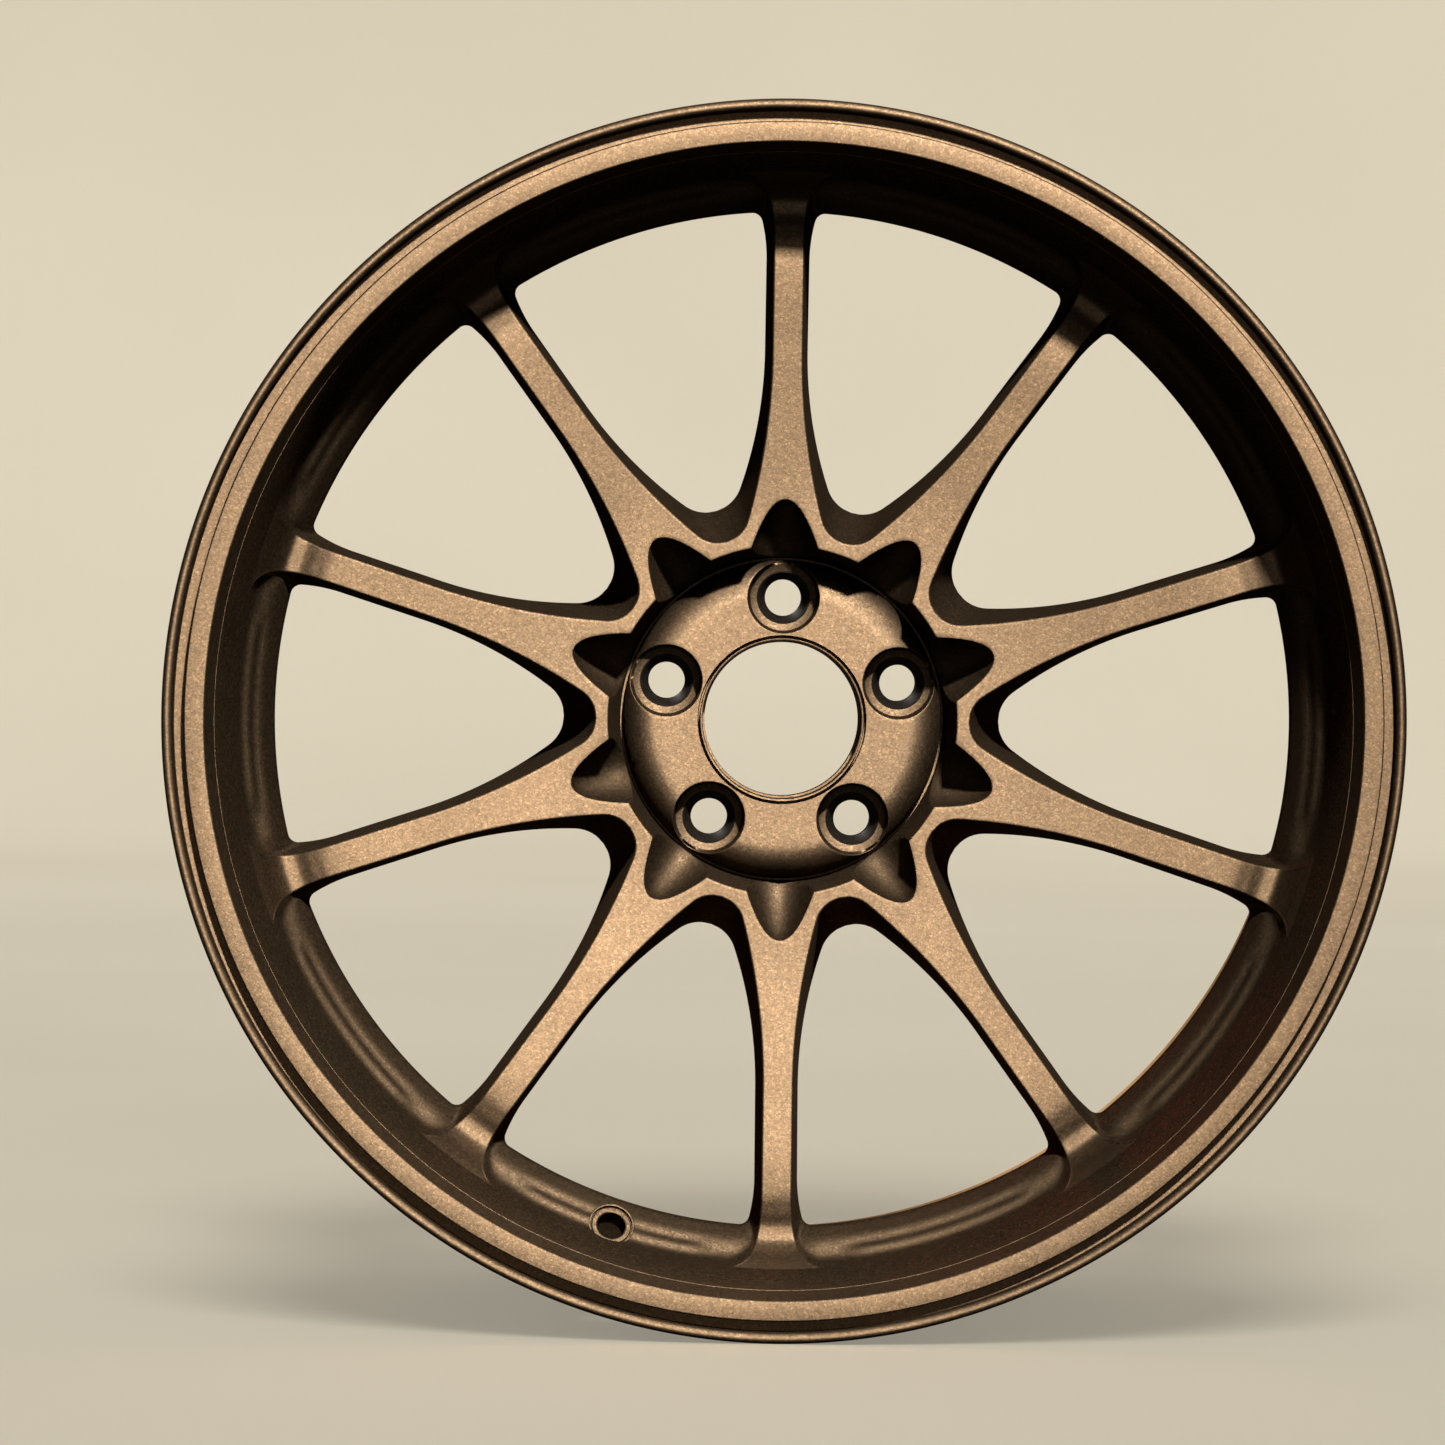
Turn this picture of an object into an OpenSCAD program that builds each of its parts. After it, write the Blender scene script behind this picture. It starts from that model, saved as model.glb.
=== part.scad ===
// Forged ten-spoke racing wheel.
// The axle is the Y axis and the outboard face looks towards -Y. The origin is
// the middle of the rim's width on the axle. Outlines are drawn as (radius,
// depth) pairs, where depth runs inboard from the outboard lip's front plane.

/* [Rim] */
// Bead seat diameter
seat_d = 462; // [456:1:468]
// Rim width between the two flanges' tyre faces
rim_w = 215.9; // [203.2:12.7:241.3]
// Thickness of each flange
flange_t = 12.5; // [12:0.5:13]
// Height of each flange above the bead seat
flange_h = 17.5; // [17:0.5:18]
// Depth of the drop centre's floor below the bead seat
well_depth = 15.5; // [14:0.5:16]
// Wall thickness of the barrel
barrel_wall = 3.5; // [3:0.5:4]

/* [Hub] */
// Depth of the mounting face behind the lip plane
mount_depth = 85.5; // [82:0.5:90]
// Depth of the bolt pad's front face behind the lip plane
pad_depth = 59.5; // [58:0.5:61]
// Diameter of the centre bore
bore_d = 65; // [64.4:0.2:65.2]
// Diameter of the spigot bore at the mounting face
spigot_d = 63.4; // [60:0.1:64]
// Diameter of the circle that the lug holes lie on
lug_pcd = 100; // [99:1:101]
// Diameter of each lug hole
lug_d = 15; // [14:0.5:15.5]
// Diameter of each lug hole's counterbore
lug_counterbore_d = 29.2; // [28:0.1:29.6]
// Depth of each lug hole's counterbore
lug_counterbore_depth = 8; // [7.8:0.1:8.6]

/* [Spokes] */
// Width of a spoke halfway through its thickness, where it is narrowest
spoke_w = 15.4; // [14:0.2:17]
// Draft of a spoke's side walls, in degrees
spoke_draft = 4.6; // [3:0.2:6]
// Depth of the spokes' front face behind the lip plane, at the hub
face_depth = 47.5; // [46:0.5:49]
// Depth of the spokes' crown behind the lip plane, near the rim
crown_depth = 40.2; // [39:0.2:42]
// Half-width of a scoop where it opens into the hub trench
scoop_half_w = 13.5; // [12.5:0.5:14]

/* [Valve] */
// Diameter of the valve hole
valve_d = 11.5; // [11.3:0.1:12.4]
// Diameter of the valve boss
valve_boss_d = 19.2; // [18:0.2:20]
// Tilt of the valve hole from the axle, in degrees
valve_tilt = 33; // [28:1:38]

/* [Hidden] */
$fn = 128;

bronze = [0.60, 0.47, 0.34];
bronze_shade = [0.52, 0.40, 0.29];
bronze_deep = [0.45, 0.35, 0.26];
seat_black = [0.10, 0.09, 0.08];

lug_count = 5;
spoke_count = 10;

// Rim section
total_w = rim_w + 2 * flange_t;
seat_r = seat_d / 2;
flange_r = seat_r + flange_h;
curl_r = 9.5;
bead_fillet = 6.5;
lip_edge_r = flange_r - 9.1;
groove_r = flange_r - 4.6;
groove_depth = 4.5;
edge_round = 2.3;
lip_inner_r = seat_r - 0.1;
lip_inner_depth = 0.6;
ring_line_r = seat_r - 9.4;
ring_line_depth = 28;
hump_end = 40;
hump_end_r = seat_r - 2;
well_r = seat_r - well_depth;
well_start = 62;
well_end = 88;
barrel_start = 112;
barrel_start_r = seat_r - 6.5;
inner_hump_start = total_w - flange_t - 28;
inner_seat_wall = 3.4;
window_r = seat_r - 23.8;
window_back = 57;

// Hub section
pad_r = 65.5;
pad_flat_r = 51;
trench_depth = 71;
trench_wall_r = 70.5;
collar_r = 77;
trench_corner_r = pad_r + 1.7;
cap_groove_r = 34.6;
cap_groove_w = 1.3;
cap_groove_depth = 2;
spigot_length = 12;
bore_chamfer = 0.6;

// Lug seats
lug_seat_d = 21.6;
lug_seat_mouth_d = 20.8;
lug_seat_depth = 5.2;
lug_seat_bore_depth = 8;

// Spoke outline, halfway through the thickness
spoke_pitch = 360 / spoke_count;
spoke_half_w = spoke_w / 2;
flare_start = 151;
flare_r = 222;
notch_r = 83;
foot_start = ring_line_r - 31.6;
foot_r = 68;
draft_depth = 62;

// Scoops
scoop_tip_r = 6.6;
scoop_end = 89.7;
scoop_deepen = 1.5;

// Valve boss
valve_angle = 252;
valve_face_r = seat_r - 14.8;
valve_face_depth = 39;
valve_spot_d = 16.6;
valve_spot_depth = 0.6;
valve_reach = 24;
front_clear = 20;

// Points along an arc about (x, y), from angle a0 to angle a1
function arc(x, y, r, a0, a1, n) =
    [for (i = [0:n]) let (a = a0 + (a1 - a0) * i / n) [x + r * cos(a), y + r * sin(a)]];

// The lip's inner wall is one cone from the lip to the ring line
function lip_wall_r(d) =
    let (slope = (lip_inner_r - ring_line_r) / (ring_line_depth - lip_inner_depth))
    lip_inner_r - slope * (d - lip_inner_depth);

// The rim's inner surface behind the ring line, as far as the drop centre
function flank_inner_r(d) =
    let (t = (d - hump_end) / (well_start - hump_end))
    ring_line_r + (well_r - barrel_wall - ring_line_r) * t;

// Step from the ring line down to the windows' outer end, with its two ridges
function window_band() = [
    [ring_line_r, ring_line_depth],
    [ring_line_r - 1.0, 35.5],
    [ring_line_r - 2.4, 37.6],
    [ring_line_r - 5.0, 39.2],
    [ring_line_r - 6.2, 42.0],
    [ring_line_r - 8.0, 43.6],
    [ring_line_r - 10.0, 45.2],
    [ring_line_r - 12.2, 48.5],
    [window_r, 52.5]
];

// The spokes' front face, from the hub collar out to the ring line
function spoke_face() = [
    [collar_r, face_depth],
    [150, crown_depth + 2.6],
    [ring_line_r - 33.6, crown_depth],
    [ring_line_r - 25.6, crown_depth + 0.6],
    [ring_line_r - 18.6, crown_depth + 1.8],
    [ring_line_r - 13.6, crown_depth + 1.6],
    [ring_line_r - 8.6, 38.8],
    [ring_line_r - 4.1, 33.4],
    [ring_line_r - 1.6, 29.6]
];

// The spokes' back face, from the ring in to the hub collar
function spoke_back() = [
    [window_r, window_back],
    [window_r - 9.2, 61],
    [window_r - 39.2, 72],
    [120, 82],
    [collar_r, mount_depth]
];

// Turns the working frame, whose Z axis is depth, to the wheel's own frame
module place() {
    rotate([-90, 0, 0])
    translate([0, 0, -total_w / 2])
    children();
}

// Turns its children to a clock angle, seen from the outboard side
module at_angle(a) {
    rotate([0, 0, -a])
    children();
}

module ring(outline) {
    rotate_extrude()
    polygon(outline);
}

// Along the valve hole, with Z pointing from the boss face to the tyre side
module along_valve() {
    at_angle(valve_angle)
    translate([valve_face_r, 0, valve_face_depth])
    rotate([0, valve_tilt, 0])
    children();
}

// Room for the valve boss in the rim, and for a tool in front of its face
module valve_cutter() {
    along_valve()
    translate([0, 0, -front_clear])
    cylinder(d = valve_boss_d, h = front_clear + valve_reach);
}

module outboard_flange() {
    color(bronze)
    place()
    ring(concat(
        [[lip_inner_r, lip_inner_depth], [seat_r + 0.5, 0], [lip_edge_r - 0.5, 0]],
        [[lip_edge_r, 0.5], [lip_edge_r, groove_depth], [groove_r, groove_depth]],
        arc(groove_r + edge_round, edge_round, edge_round, 180, 360, 12),
        arc(flange_r - curl_r, flange_t - curl_r, curl_r, 0, 90, 12),
        [[lip_wall_r(flange_t), flange_t]]
    ));
}

module outboard_bead_seat() {
    color(bronze_shade)
    place()
    difference() {
        ring(concat(
            [[lip_wall_r(flange_t), flange_t]],
            arc(seat_r + bead_fillet, flange_t + bead_fillet, bead_fillet, 270, 180, 8),
            [[seat_r - 1.2, 33], [seat_r - 0.2, 35.5], [seat_r - 0.2, 37]],
            [[hump_end_r, hump_end], [ring_line_r, hump_end], [ring_line_r, ring_line_depth]]
        ));
        valve_cutter();
    }
}

// The step that the spokes stand on, at the windows' outer ends
module spoke_ring() {
    color(bronze_shade)
    place()
    difference() {
        ring(concat(
            window_band(),
            [[window_r, window_back], [window_r + 1.2, 58.6], [flank_inner_r(59), 59]],
            [[ring_line_r, hump_end]]
        ));
        valve_cutter();
    }
}

module drop_centre() {
    color(bronze_deep)
    place()
    difference() {
        ring([
            [ring_line_r, hump_end],
            [hump_end_r, hump_end],
            [well_r + 1, well_start - 1.6],
            [well_r, well_start],
            [well_r, well_end],
            [barrel_start_r, barrel_start],
            [barrel_start_r - barrel_wall, barrel_start],
            [well_r - barrel_wall, well_end],
            [well_r - barrel_wall, well_start]
        ]);
        valve_cutter();
    }
}

module barrel() {
    color(bronze_deep)
    place()
    ring([
        [barrel_start_r - barrel_wall, barrel_start],
        [barrel_start_r, barrel_start],
        [seat_r - 2, inner_hump_start],
        [seat_r - 2 - barrel_wall, inner_hump_start]
    ]);
}

module inboard_bead_seat() {
    tyre_face = total_w - flange_t;
    color(bronze_shade)
    place()
    ring(concat(
        [[seat_r - 2 - barrel_wall, inner_hump_start], [seat_r - 2, inner_hump_start]],
        [[seat_r - 0.2, inner_hump_start + 3], [seat_r - 0.2, inner_hump_start + 4.5]],
        [[seat_r - 1.2, inner_hump_start + 7]],
        arc(seat_r + bead_fillet, tyre_face - bead_fillet, bead_fillet, 180, 90, 8),
        [[seat_r - inner_seat_wall, tyre_face], [seat_r - inner_seat_wall, inner_hump_start + 8]]
    ));
}

module inboard_flange() {
    tyre_face = total_w - flange_t;
    color(bronze)
    place()
    ring(concat(
        [[seat_r - inner_seat_wall, tyre_face]],
        arc(flange_r - curl_r, tyre_face + curl_r, curl_r, 270, 360, 12),
        arc(flange_r - edge_round, total_w - edge_round, edge_round, 0, 90, 6),
        [[seat_r - 1.4, total_w], [seat_r - inner_seat_wall, total_w - 2]]
    ));
}

module valve_boss() {
    color(bronze)
    place()
    difference() {
        along_valve()
        cylinder(d = valve_boss_d, h = valve_reach);
        // The tyre's air space behind the boss
        ring([
            [hump_end_r, hump_end],
            [well_r + 1, well_start - 1.6],
            [well_r, well_start],
            [well_r, well_end],
            [flange_r, well_end],
            [flange_r, hump_end]
        ]);
        along_valve()
        translate([0, 0, -1])
        cylinder(d = valve_d, h = valve_reach + 2);
        along_valve()
        translate([0, 0, -1])
        cylinder(d = valve_spot_d, h = 1 + valve_spot_depth);
    }
}

// Places its children at lug hole number i, with Z running inboard
module at_lug(i) {
    at_angle(90 + i * 360 / lug_count)
    translate([lug_pcd / 2, 0, 0])
    children();
}

// Everything that is cut out of the pad for one lug nut
module lug_cutter() {
    seat_top = pad_depth + lug_counterbore_depth;
    translate([0, 0, pad_depth - 1])
    cylinder(d = lug_counterbore_d, h = 1 + lug_counterbore_depth);
    translate([0, 0, pad_depth])
    cylinder(d = lug_seat_d, h = lug_counterbore_depth + lug_seat_bore_depth);
    translate([0, 0, seat_top])
    cylinder(d = lug_d, h = mount_depth);
}

// Quarter ellipse from the pad's flat face down to the trench
function pad_shoulder() =
    let (across = pad_r - pad_flat_r, down = trench_depth - pad_depth, n = 14)
    [for (i = [0:n]) let (a = 90 * i / n)
        [pad_flat_r + across * sin(a), pad_depth + down * (1 - cos(a))]];

module hub_pad() {
    bore_r = bore_d / 2;
    spigot_r = spigot_d / 2;
    groove_inner_r = cap_groove_r - cap_groove_w;
    step_depth = mount_depth - spigot_length;
    color(bronze)
    place()
    difference() {
        ring(concat(
            [[bore_r, pad_depth + bore_chamfer], [bore_r + bore_chamfer, pad_depth]],
            [[groove_inner_r, pad_depth], [groove_inner_r, pad_depth + cap_groove_depth]],
            [[cap_groove_r, pad_depth + cap_groove_depth], [cap_groove_r, pad_depth]],
            pad_shoulder(),
            [[pad_r, mount_depth]],
            [[spigot_r + bore_chamfer, mount_depth], [spigot_r, mount_depth - bore_chamfer]],
            [[spigot_r, step_depth], [bore_r, step_depth]]
        ));
        for (i = [0:lug_count - 1])
            at_lug(i)
            lug_cutter();
    }
}

// Conical seat that a lug nut's nose bears on
module lug_seat(i) {
    seat_top = pad_depth + lug_counterbore_depth;
    color(seat_black)
    place()
    at_lug(i)
    translate([0, 0, seat_top])
    difference() {
        cylinder(d = lug_seat_d, h = lug_seat_bore_depth);
        translate([0, 0, -0.01])
        cylinder(d1 = lug_seat_mouth_d, d2 = lug_d, h = lug_seat_depth + 0.01);
        translate([0, 0, -1])
        cylinder(d = lug_d, h = lug_seat_bore_depth + 2);
    }
}

// Half-cone pocket that runs out along spoke number i, and opens into the trench.
// It is deeper than it is wide by scoop_deepen.
module scoop(i) {
    ball_r = scoop_end - scoop_tip_r;
    taper = (scoop_half_w - scoop_tip_r) / (ball_r - trench_wall_r);
    start_r = pad_r - 6;
    at_angle(90 + i * spoke_pitch)
    translate([0, 0, face_depth])
    scale([1, 1, scoop_deepen]) {
        translate([start_r, 0, 0])
        rotate([0, 90, 0])
        cylinder(
            r1 = scoop_tip_r + taper * (ball_r - start_r),
            r2 = scoop_tip_r,
            h = ball_r - start_r
        );
        translate([ball_r, 0, 0])
        sphere(r = scoop_tip_r);
    }
}

// The raised wall round the pad, with a scoop at each spoke
module hub_collar() {
    color(bronze_shade)
    place()
    difference() {
        ring([
            [pad_r, trench_depth],
            [trench_corner_r, trench_depth],
            [trench_wall_r, face_depth + 0.5],
            [trench_wall_r + 0.5, face_depth],
            [collar_r, face_depth],
            [collar_r, mount_depth],
            [pad_r, mount_depth]
        ]);
        for (i = [0:spoke_count - 1])
            scoop(i);
    }
}

// One side of a spoke's outline, from the notch between two spokes to the ring.
// The notch's tip is round about the line midway between two spokes, reaches in
// to notch_r and touches the long flare. It runs on past the slice's edge, where
// the slice trims it.
function spoke_side() =
    let (
        midway = [cos(spoke_pitch / 2), sin(spoke_pitch / 2)],
        flare = [flare_start, spoke_half_w + flare_r],
        along = midway * flare,
        tip_r = (pow(flare_r, 2) - pow(notch_r, 2) + 2 * notch_r * along - flare * flare)
            / (2 * (notch_r - along + flare_r)),
        tip = (notch_r + tip_r) * midway,
        lean = atan2(flare.y - tip.y, flare.x - tip.x)
    )
    concat(
        arc(tip.x, tip.y, tip_r, spoke_pitch / 2 - 240, lean - 180, 10),
        arc(flare.x, flare.y, flare_r, lean - 180, -90, 12),
        arc(foot_start, spoke_half_w + foot_r, foot_r, -90, -62, 6)
    );

// Side wall of a spoke: a prism that leans by the draft, on the side given
module spoke_wall(side) {
    far = seat_r + 20;
    mirror([0, side < 0 ? 1 : 0, 0])
    translate([0, 0, draft_depth])
    rotate([spoke_draft, 0, 0])
    linear_extrude(2 * far, center = true)
    polygon(concat(
        [[-far, far]],
        spoke_side(),
        [[far, spoke_half_w + far / 4], [far, -far], [-far, -far]]
    ));
}

// The slice of the wheel that one spoke takes up
module spoke_sector() {
    far = seat_r + 20;
    linear_extrude(total_w)
    polygon([
        [0, 0],
        [far, -far * tan(spoke_pitch / 2)],
        [far, far * tan(spoke_pitch / 2)]
    ]);
}

module spoke(i) {
    color(bronze)
    place()
    difference() {
        at_angle(90 + i * spoke_pitch)
        intersection() {
            rotate_extrude()
            polygon(concat(spoke_face(), window_band(), spoke_back()));
            spoke_sector();
            spoke_wall(1);
            spoke_wall(-1);
        }
        scoop(i);
    }
}

outboard_flange();
outboard_bead_seat();
spoke_ring();
drop_centre();
barrel();
inboard_bead_seat();
inboard_flange();
valve_boss();
hub_pad();
hub_collar();
lug_seat(0);  // lug_seat_1
lug_seat(1);  // lug_seat_2
lug_seat(2);  // lug_seat_3
lug_seat(3);  // lug_seat_4
lug_seat(4);  // lug_seat_5
spoke(0);  // spoke_01
spoke(1);  // spoke_02
spoke(2);  // spoke_03
spoke(3);  // spoke_04
spoke(4);  // spoke_05
spoke(5);  // spoke_06
spoke(6);  // spoke_07
spoke(7);  // spoke_08
spoke(8);  // spoke_09
spoke(9);  // spoke_10
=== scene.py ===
"""Forged ten-spoke racing wheel: its looks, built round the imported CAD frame.

The wheel's sizes are in millimetres, in its own working frame: x and y lie in
the wheel's plane as seen from outboard, and depth runs inboard from the lip's
plane. The stage, lamps and camera are in the frame's metres.
"""

import math

import bmesh
import bpy
import numpy as np
from mathutils import Matrix, Vector

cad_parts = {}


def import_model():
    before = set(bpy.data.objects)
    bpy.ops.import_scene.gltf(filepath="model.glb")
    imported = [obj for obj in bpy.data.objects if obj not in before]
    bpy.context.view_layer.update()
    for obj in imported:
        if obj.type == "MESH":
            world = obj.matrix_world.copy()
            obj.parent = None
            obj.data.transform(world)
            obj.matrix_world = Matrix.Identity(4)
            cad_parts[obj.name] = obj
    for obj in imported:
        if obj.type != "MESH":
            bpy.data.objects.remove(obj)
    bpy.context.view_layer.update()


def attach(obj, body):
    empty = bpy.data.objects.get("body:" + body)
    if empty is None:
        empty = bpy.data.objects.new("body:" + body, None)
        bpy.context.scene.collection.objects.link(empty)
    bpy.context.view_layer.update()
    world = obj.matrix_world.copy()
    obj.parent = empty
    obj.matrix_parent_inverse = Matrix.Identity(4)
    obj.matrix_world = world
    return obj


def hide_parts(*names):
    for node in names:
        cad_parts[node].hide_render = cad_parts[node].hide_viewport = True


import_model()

# ---------------------------------------------------------------- sizes (mm)
TOTAL_W = 240.9
HALF_W = TOTAL_W / 2
SEAT_R = 231.0
FLANGE_R = 248.5
FLANGE_T = 12.5
RING_R = 221.6          # ring line, where the spokes meet the lip's wall
RING_D = 28.0
WINDOW_R = 207.2        # windows' outer end, at the back
WINDOW_D = 57.0
FLANK_R, FLANK_D = 213.3, 59.0
HUMP_D = 40.0

LIP_TOP_R, LIP_TOP_D = 230.9, 0.6       # front end of the lip's inner wall
LIP_STEP_D, LIP_STEP = 9.4, 0.15        # faint step on that wall
LIP_RIDGE_R, LIP_RIDGE_D = 239.4, 4.5   # flat front of the lip, and the groove beyond
GROOVE_R = 243.9
EDGE_ROUND = 2.3                        # the flanges' outer edge
FLANGE_CURVE = 9.5
SEAT_CURVE = 6.5
HUMP_R, HUMP_FOOT_R, HUMP_END_R = 230.8, 229.8, 229.0
WELL_R, WELL_IN_R = 215.5, 212.0
WELL_START_D, WELL_END_D = 62.0, 88.0
BARREL_R, BARREL_IN_R, BARREL_D = 224.5, 221.0, 112.0
BARREL_MID_R, BARREL_MID_IN_R, BARREL_MID_D = 226.7, 223.2, 156.0
BARREL_END_IN_R = 225.5
REAR_IN_R = 227.6
REAR_HUMP_D = TOTAL_W - FLANGE_T - 28

PAD_R = 65.5
PAD_FLAT_R = 51.0
PAD_D = 59.5
TRENCH_D = 71.0
TRENCH_R = 66.3
TRENCH_EDGE_R = 65.9
COLLAR_R = 71.0         # top of the wall round the pad
MOUNT_D = 85.5
PAD_WALL_D = (TRENCH_D, 76.0, 81.0, MOUNT_D)    # rows of the wall between pad and collar
BORE_R = 32.5
SPIGOT_R = 31.7
SPIGOT_LENGTH = 12.0
GROOVE_IN, GROOVE_OUT, GROOVE_DEPTH = 33.3, 34.6, 3.0
GROOVE_LEAN = 0.4       # how far each wall of the groove leans in
BACK_CHAMFER = 0.6

LUG_COUNT = 5
LUG_CIRCLE_R = 50.0
LUG_BORE_R = 14.6
LUG_BORE_DEPTH = 8.0
LUG_SEAT_R = 10.8
LUG_SEAT_DEPTH = 8.0
LUG_HOLE_R = 7.5
LUG_EDGE = 0.4          # rounded edge of the counterbore
LUG_TAPER = 0.9         # how much the counterbore's radius shrinks to its floor

SPOKE_COUNT = 10
HALF_PITCH = math.pi / SPOKE_COUNT
FACE_D = 47.5
FACE = [(60, 47.5), (77, 47.5), (150, 42.8), (186, 40.3), (193, 40.5), (200, 41.9),
        (207, 43.7), (211, 43.4), (215.5, 38.6), (219.5, 31.4), (221.6, 28.0)]
BACK = [(60, 85.5), (77, 85.5), (120, 82), (168, 72), (198, 61), (207.8, 57)]
FRONT_ROUND = 0.8
BACK_ROUND = 0.6
FADE_WIDTH = 5.0        # the front edge's rounding fades out over this
SCOOP_END = 89.7        # a scoop's tip
SCOOP_BEND = 9.1        # half-width squared over distance from the tip
SCOOP_POLE = 81.0       # where the rows of its round end start from
SCOOP_DEPTH = 21.5      # depth at its mouth, SCOOP_REACH from the tip
SCOOP_REACH = 22.7
SCOOP_POWER = 0.55      # how its floor falls away from the tip
SCOOP_ROUND = 0.5

VALVE_ANGLE = math.radians(252)
VALVE_R, VALVE_D = 216.2, 39.0
VALVE_TILT = math.radians(33)
VALVE_BOSS_R = 9.6
VALVE_SPOT_R = 8.3
VALVE_HOLE_R = 5.75
VALVE_LENGTH = 10.2

LATHE_STEPS = 360
SMALL_LATHE_STEPS = 96
CORNER_STEPS = 4
SHARP_ANGLE = 38        # degrees


# ------------------------------------------------------------ small geometry
def world(x, y, d):
    """A point of the working frame, in the frame's metres."""
    return Vector((x / 1000, (d - HALF_W) / 1000, y / 1000))


def smooth_curve(points):
    """A function through the points, with slopes that never overshoot."""
    xs = np.array([p[0] for p in points], float)
    ys = np.array([p[1] for p in points], float)
    h = np.diff(xs)
    s = np.diff(ys) / h
    m = np.concatenate(([s[0]], (s[:-1] + s[1:]) / 2, [s[-1]]))
    for i in range(1, len(m) - 1):
        if s[i - 1] * s[i] <= 0:
            m[i] = 0
        else:
            m[i] = math.copysign(min(abs(m[i]), 3 * min(abs(s[i - 1]), abs(s[i]))), s[i])

    def at(x):
        x = min(max(x, xs[0]), xs[-1])
        i = min(int(np.searchsorted(xs, x, side="right")) - 1, len(h) - 1)
        t = (x - xs[i]) / h[i]
        return float(ys[i] * (1 + 2 * t) * (1 - t) ** 2 + m[i] * h[i] * t * (1 - t) ** 2
                     + ys[i + 1] * t * t * (3 - 2 * t) + m[i + 1] * h[i] * t * t * (t - 1))
    return at


face_depth = smooth_curve(FACE)
back_depth = smooth_curve(BACK)


def arc_points(cx, cy, r, a0, a1, n):
    """n + 1 points on an arc from angle a0 to a1, in degrees."""
    return [(cx + r * math.cos(a), cy + r * math.sin(a))
            for a in np.linspace(math.radians(a0), math.radians(a1), n + 1)]


def rounded(corners):
    """A closed outline whose corners (x, y, radius) are rounded."""
    out = []
    n = len(corners)
    for i in range(n):
        p = Vector(corners[i][:2])
        r = corners[i][2] if len(corners[i]) > 2 else 0
        a = Vector(corners[i - 1][:2]) - p
        b = Vector(corners[(i + 1) % n][:2]) - p
        turn = a.angle(b)
        if not r or turn > math.pi - 1e-3:
            out.append(tuple(p))
            continue
        reach = min(r / math.tan(turn / 2), 0.48 * a.length, 0.48 * b.length)
        r = reach * math.tan(turn / 2)
        centre = p + (a.normalized() + b.normalized()).normalized() * (r / math.sin(turn / 2))
        start = p + a.normalized() * reach - centre
        end = p + b.normalized() * reach - centre
        for k in range(CORNER_STEPS + 1):
            out.append(tuple(centre + start.slerp(end, k / CORNER_STEPS) * start.length))
    return out


# ---------------------------------------------------------------- mesh tools
def add_grid(bm, rows):
    """Quads between rows of points in the working frame."""
    last = None
    for row in rows:
        verts = [bm.verts.new(world(*p)) for p in row]
        if last:
            for i in range(len(verts) - 1):
                bm.faces.new((last[i], last[i + 1], verts[i + 1], verts[i]))
        last = verts


def weld(bm):
    """Joins points that touch, and removes what that leaves without a size."""
    bmesh.ops.remove_doubles(bm, verts=bm.verts, dist=3e-6)
    bmesh.ops.dissolve_degenerate(bm, dist=1e-6, edges=bm.edges)


def carve(obj, cutter):
    """Takes the cutter's shape out of an object, and leaves a plain mesh."""
    cut = obj.modifiers.new("cut", "BOOLEAN")
    cut.operation = "DIFFERENCE"
    cut.solver = "EXACT"
    cut.object = cutter
    graph = bpy.context.evaluated_depsgraph_get()
    mesh = bpy.data.meshes.new_from_object(obj.evaluated_get(graph))
    obj.modifiers.clear()
    obj.data = mesh


def shade(mesh, sharp, seams):
    """Smooth shading up to the sharp angle. On a seam plane, a normal is laid
    into the plane, so the next piece carries on with no visible joint."""
    mesh.polygons.foreach_set("use_smooth", [True] * len(mesh.polygons))
    mesh.set_sharp_from_angle(angle=math.radians(sharp))
    if not seams:
        return
    count = len(mesh.loops)
    normals = np.empty(count * 3)
    mesh.corner_normals.foreach_get("vector", normals)
    normals = normals.reshape(-1, 3)
    verts = np.empty(len(mesh.vertices) * 3)
    mesh.vertices.foreach_get("co", verts)
    verts = verts.reshape(-1, 3)
    loop_vert = np.empty(count, int)
    mesh.loops.foreach_get("vertex_index", loop_vert)
    flat = np.empty(len(mesh.polygons) * 3)
    mesh.polygons.foreach_get("normal", flat)
    flat = flat.reshape(-1, 3)
    totals = np.empty(len(mesh.polygons), int)
    mesh.polygons.foreach_get("loop_total", totals)
    loop_flat = np.repeat(flat, totals, axis=0)
    for seam in seams:
        seam = np.array(seam)
        on = np.abs(verts[loop_vert] @ seam) < 2e-6
        cap = np.abs(loop_flat @ seam) > 0.999
        pick = on & ~cap
        lain = normals[pick] - np.outer(normals[pick] @ seam, seam)
        normals[pick] = lain / np.linalg.norm(lain, axis=1, keepdims=True)
        normals[on & cap] = loop_flat[on & cap]
    mesh.normals_split_custom_set(normals.tolist())


def new_piece(name, bm, nodes, material, sharp=SHARP_ANGLE, seams=(), cutters=()):
    """One named piece on the wheel's body, from a mesh, which is used up."""
    mesh = bpy.data.meshes.new(name)
    bm.to_mesh(mesh)
    bm.free()
    obj = bpy.data.objects.new(name, mesh)
    bpy.context.scene.collection.objects.link(obj)
    for cutter in cutters:
        carve(obj, cutter)
    obj.data.materials.clear()
    obj.data.materials.append(material)
    shade(obj.data, sharp, seams)
    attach(obj, "root")
    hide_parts(*nodes)
    return obj


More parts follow.
